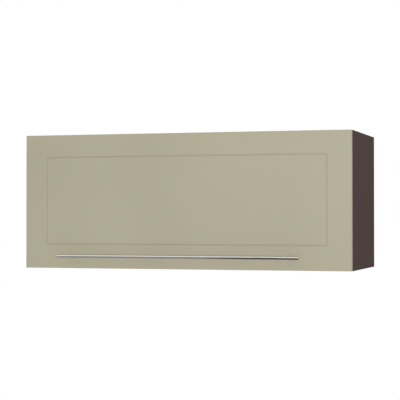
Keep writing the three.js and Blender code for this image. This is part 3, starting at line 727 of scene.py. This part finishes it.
def back_nails(materials):
    """Small nails that hold the back sheet on the panels' rear edges."""
    x_line = SIDE_HIGH.x - PANEL / 2
    z_line = SIDE_HIGH.z - PANEL / 2
    y = BACK_HIGH.y
    places = []
    for i in range(NAIL_COLUMNS):
        x = -x_line + 2 * x_line * i / (NAIL_COLUMNS - 1)
        places += [(x, y, -z_line), (x, y, z_line)]
    for i in range(1, NAIL_SPACES):
        z = -z_line + 2 * z_line * i / NAIL_SPACES
        places += [(-x_line, y, z), (x_line, y, z)]
    profile = [(NAIL_RADIUS * r, NAIL_HEIGHT * h) for r, h in NAIL_PROFILE]
    bm = bmesh.new()
    for place in places:
        lathe(bm, profile, facing((0, 1, 0), place), NAIL_SEGMENTS)
    finish_mesh("back_sheet_nails", bm, materials["zinc_steel"], "cabinet_body")


# ------------------------------------------------------------------ stage
FLOOR_PLACE = (0, -0.2, -1.45)
FLOOR_RADIUS = 2.8
FLOOR_SEGMENTS = 96
FLOOR_PALE = 0.82
FADE_START = 0.35  # where the floor starts to fade into white, as a share of its radius
FADE_END = 0.95
WORLD_LIGHT = 0.63
# Glow of the front card, seen only in reflections: a painted reflection on the handle bar.
CARD_GLOW_GREY = 0.3
CARD_DIM = 0.16  # what is left of that glow at a graded card's dark end

# The front card runs along X. Its (y, z) section goes down in front of the door and back under it.
FRONT_CARD_ENDS = (-1.6, 1.3)
FRONT_CARD_SECTION = ((-1.6, 0.42), (-1.6, -0.9), (0.3, -0.9))
FRONT_CARD_FADE = (-0.22, 0.02)  # glowing grey up to the first place along X, dim from the second; a painted reflection in the bar
# The side card is upright. Its (x, y) section goes back beside the cabinet and in behind it.
SIDE_CARD_ENDS = (-1.3, 1.3)
SIDE_CARD_SECTION = ((1.4, -1.2), (1.4, 4.0), (0.3, 4.0))


def stage_material(name):
    """A bare node material, with its nodes and the socket that its surface goes into."""
    material = bpy.data.materials.new(name)
    material.use_nodes = True
    material.node_tree.nodes.clear()
    nodes = Nodes(material.node_tree)
    surface = nodes.node("ShaderNodeOutputMaterial").inputs["Surface"]
    return material, nodes, surface


def seen_ray(nodes):
    """1 for camera, glossy and transmission rays, 0 for the rays that carry soft light."""
    rays = nodes.node("ShaderNodeLightPath").outputs
    seen = nodes.calculate("MAXIMUM", rays["Is Camera Ray"], rays["Is Glossy Ray"])
    return nodes.calculate("MAXIMUM", seen, rays["Is Transmission Ray"])


def floor_material():
    """Pale; to seen rays it fades into white outwards, and from underneath it is see-through."""
    material, nodes, surface = stage_material("floor_pale")
    pale = nodes.node("ShaderNodeBsdfDiffuse")
    pale.inputs["Color"].default_value = (FLOOR_PALE, FLOOR_PALE, FLOOR_PALE, 1)
    white = nodes.node("ShaderNodeEmission")
    distance = nodes.node("ShaderNodeVectorMath", operation="LENGTH")
    nodes.link(nodes.place(), distance.inputs[0])
    outwards = nodes.spread(
        distance.outputs["Value"], 0, 1,
        low_in=FLOOR_RADIUS * FADE_START, high_in=FLOOR_RADIUS * FADE_END,
    )
    whiter = nodes.calculate("MULTIPLY", outwards, seen_ray(nodes))
    upper = nodes.mix_shaders(whiter, pale.outputs[0], white.outputs[0])
    underneath = nodes.node("ShaderNodeNewGeometry").outputs["Backfacing"]
    clear = nodes.node("ShaderNodeBsdfTransparent")
    nodes.link(nodes.mix_shaders(underneath, upper, clear.outputs[0]), surface)
    return material


def make_floor():
    """A pale disc well below the hanging cabinet, which never hides its underside."""
    bm = bmesh.new()
    bmesh.ops.create_circle(bm, cap_ends=True, radius=FLOOR_RADIUS, segments=FLOOR_SEGMENTS)
    floor = add_object("floor", mesh_from("floor", bm))
    floor.location = FLOOR_PLACE
    floor.data.materials.append(floor_material())


def card_material(name, fade):
    """Black; with fade it glows grey at its left end and dims between the two places along X: a painted
    reflection, lighter at the handle bar's left end.
    """
    material, nodes, surface = stage_material(name)
    glow = nodes.node("ShaderNodeEmission")
    glow.inputs["Color"].default_value = (CARD_GLOW_GREY, CARD_GLOW_GREY, CARD_GLOW_GREY, 1)
    glow.inputs["Strength"].default_value = 0
    if fade:
        grey_until, dim_from = fade
        # A graded glow, seen only in the bar: a painted reflection, lighter at its left end.
        strength = nodes.spread(
            nodes.axis("X"), CARD_DIM, 1, low_in=dim_from, high_in=grey_until,
        )
        nodes.link(strength, glow.inputs["Strength"])
    nodes.link(glow.outputs[0], surface)
    return material


def dark_card(name, rows, fade=None):
    """A dark card, as used around bright or dark goods; only reflections show it."""
    bm = bmesh.new()
    made = [[bm.verts.new(corner) for corner in row] for row in rows]
    for first, second in zip(made, made[1:]):
        bm.faces.new((first[0], first[1], second[1], second[0]))
    card = add_object(name, mesh_from(name, bm))
    card.data.materials.append(card_material(f"{name}_black", fade))
    card.visible_camera = False
    card.visible_diffuse = False
    card.visible_shadow = False
    card.visible_transmission = False


def make_cards():
    """The front card's glow paints a dark, graded reflection on the bar's underside; the other takes the sheen off
    the side.
    """
    dark_card(
        "front_card",
        [[(x, *place) for x in FRONT_CARD_ENDS] for place in FRONT_CARD_SECTION],
        fade=FRONT_CARD_FADE,
    )
    dark_card(
        "side_card",
        [[(*place, z) for z in SIDE_CARD_ENDS] for place in SIDE_CARD_SECTION],
    )


# ------------------------------------------------------------------ light
LAMP_TARGET = (0, -0.17, 0)


def make_world():
    """White to the camera and in reflections, a softer even light on the object."""
    world = bpy.data.worlds.new("studio")
    bpy.context.scene.world = world
    world.use_nodes = True
    nodes = Nodes(world.node_tree)
    background = world.node_tree.nodes["Background"]
    background.inputs["Color"].default_value = (1, 1, 1, 1)
    strength = nodes.spread(seen_ray(nodes), WORLD_LIGHT, 1, low_in=0, high_in=1)
    nodes.link(strength, background.inputs["Strength"])


def area_light(name, place, size, power):
    """A rectangular lamp that faces the cabinet's middle."""
    data = bpy.data.lights.new(name, "AREA")
    data.shape = "RECTANGLE"
    data.size, data.size_y = size
    data.energy = power
    lamp = add_object(name, data)
    lamp.location = place
    aim = Vector(LAMP_TARGET) - Vector(place)
    lamp.rotation_euler = aim.to_track_quat("-Z", "Y").to_euler()


def make_lights():
    """A low, wide lamp in front and a large soft one beside the cabinet."""
    area_light("key", place=(1.7, -4.6, -0.22), size=(1.0, 0.55), power=75.5)
    area_light("right", place=(3.0, 0.2, 0.5), size=(1.8, 1.8), power=24)


def main():
    bpy.context.scene.view_settings.view_transform = "Standard"
    make_camera()
    materials = make_materials()
    dress_nodes(materials)
    handle_bar(materials)
    for side_name in SIDES:
        handle_post(side_name, materials)
        handle_screw(side_name, materials)
        door_bumper(side_name, materials)
        hinge_screws(side_name, materials)
        lift_cover_screws(side_name, materials)
        lift_lever_rivet(side_name, materials)
        lift_bracket_screws(side_name, materials)
    back_nails(materials)
    make_floor()
    make_cards()
    make_world()
    make_lights()


main()
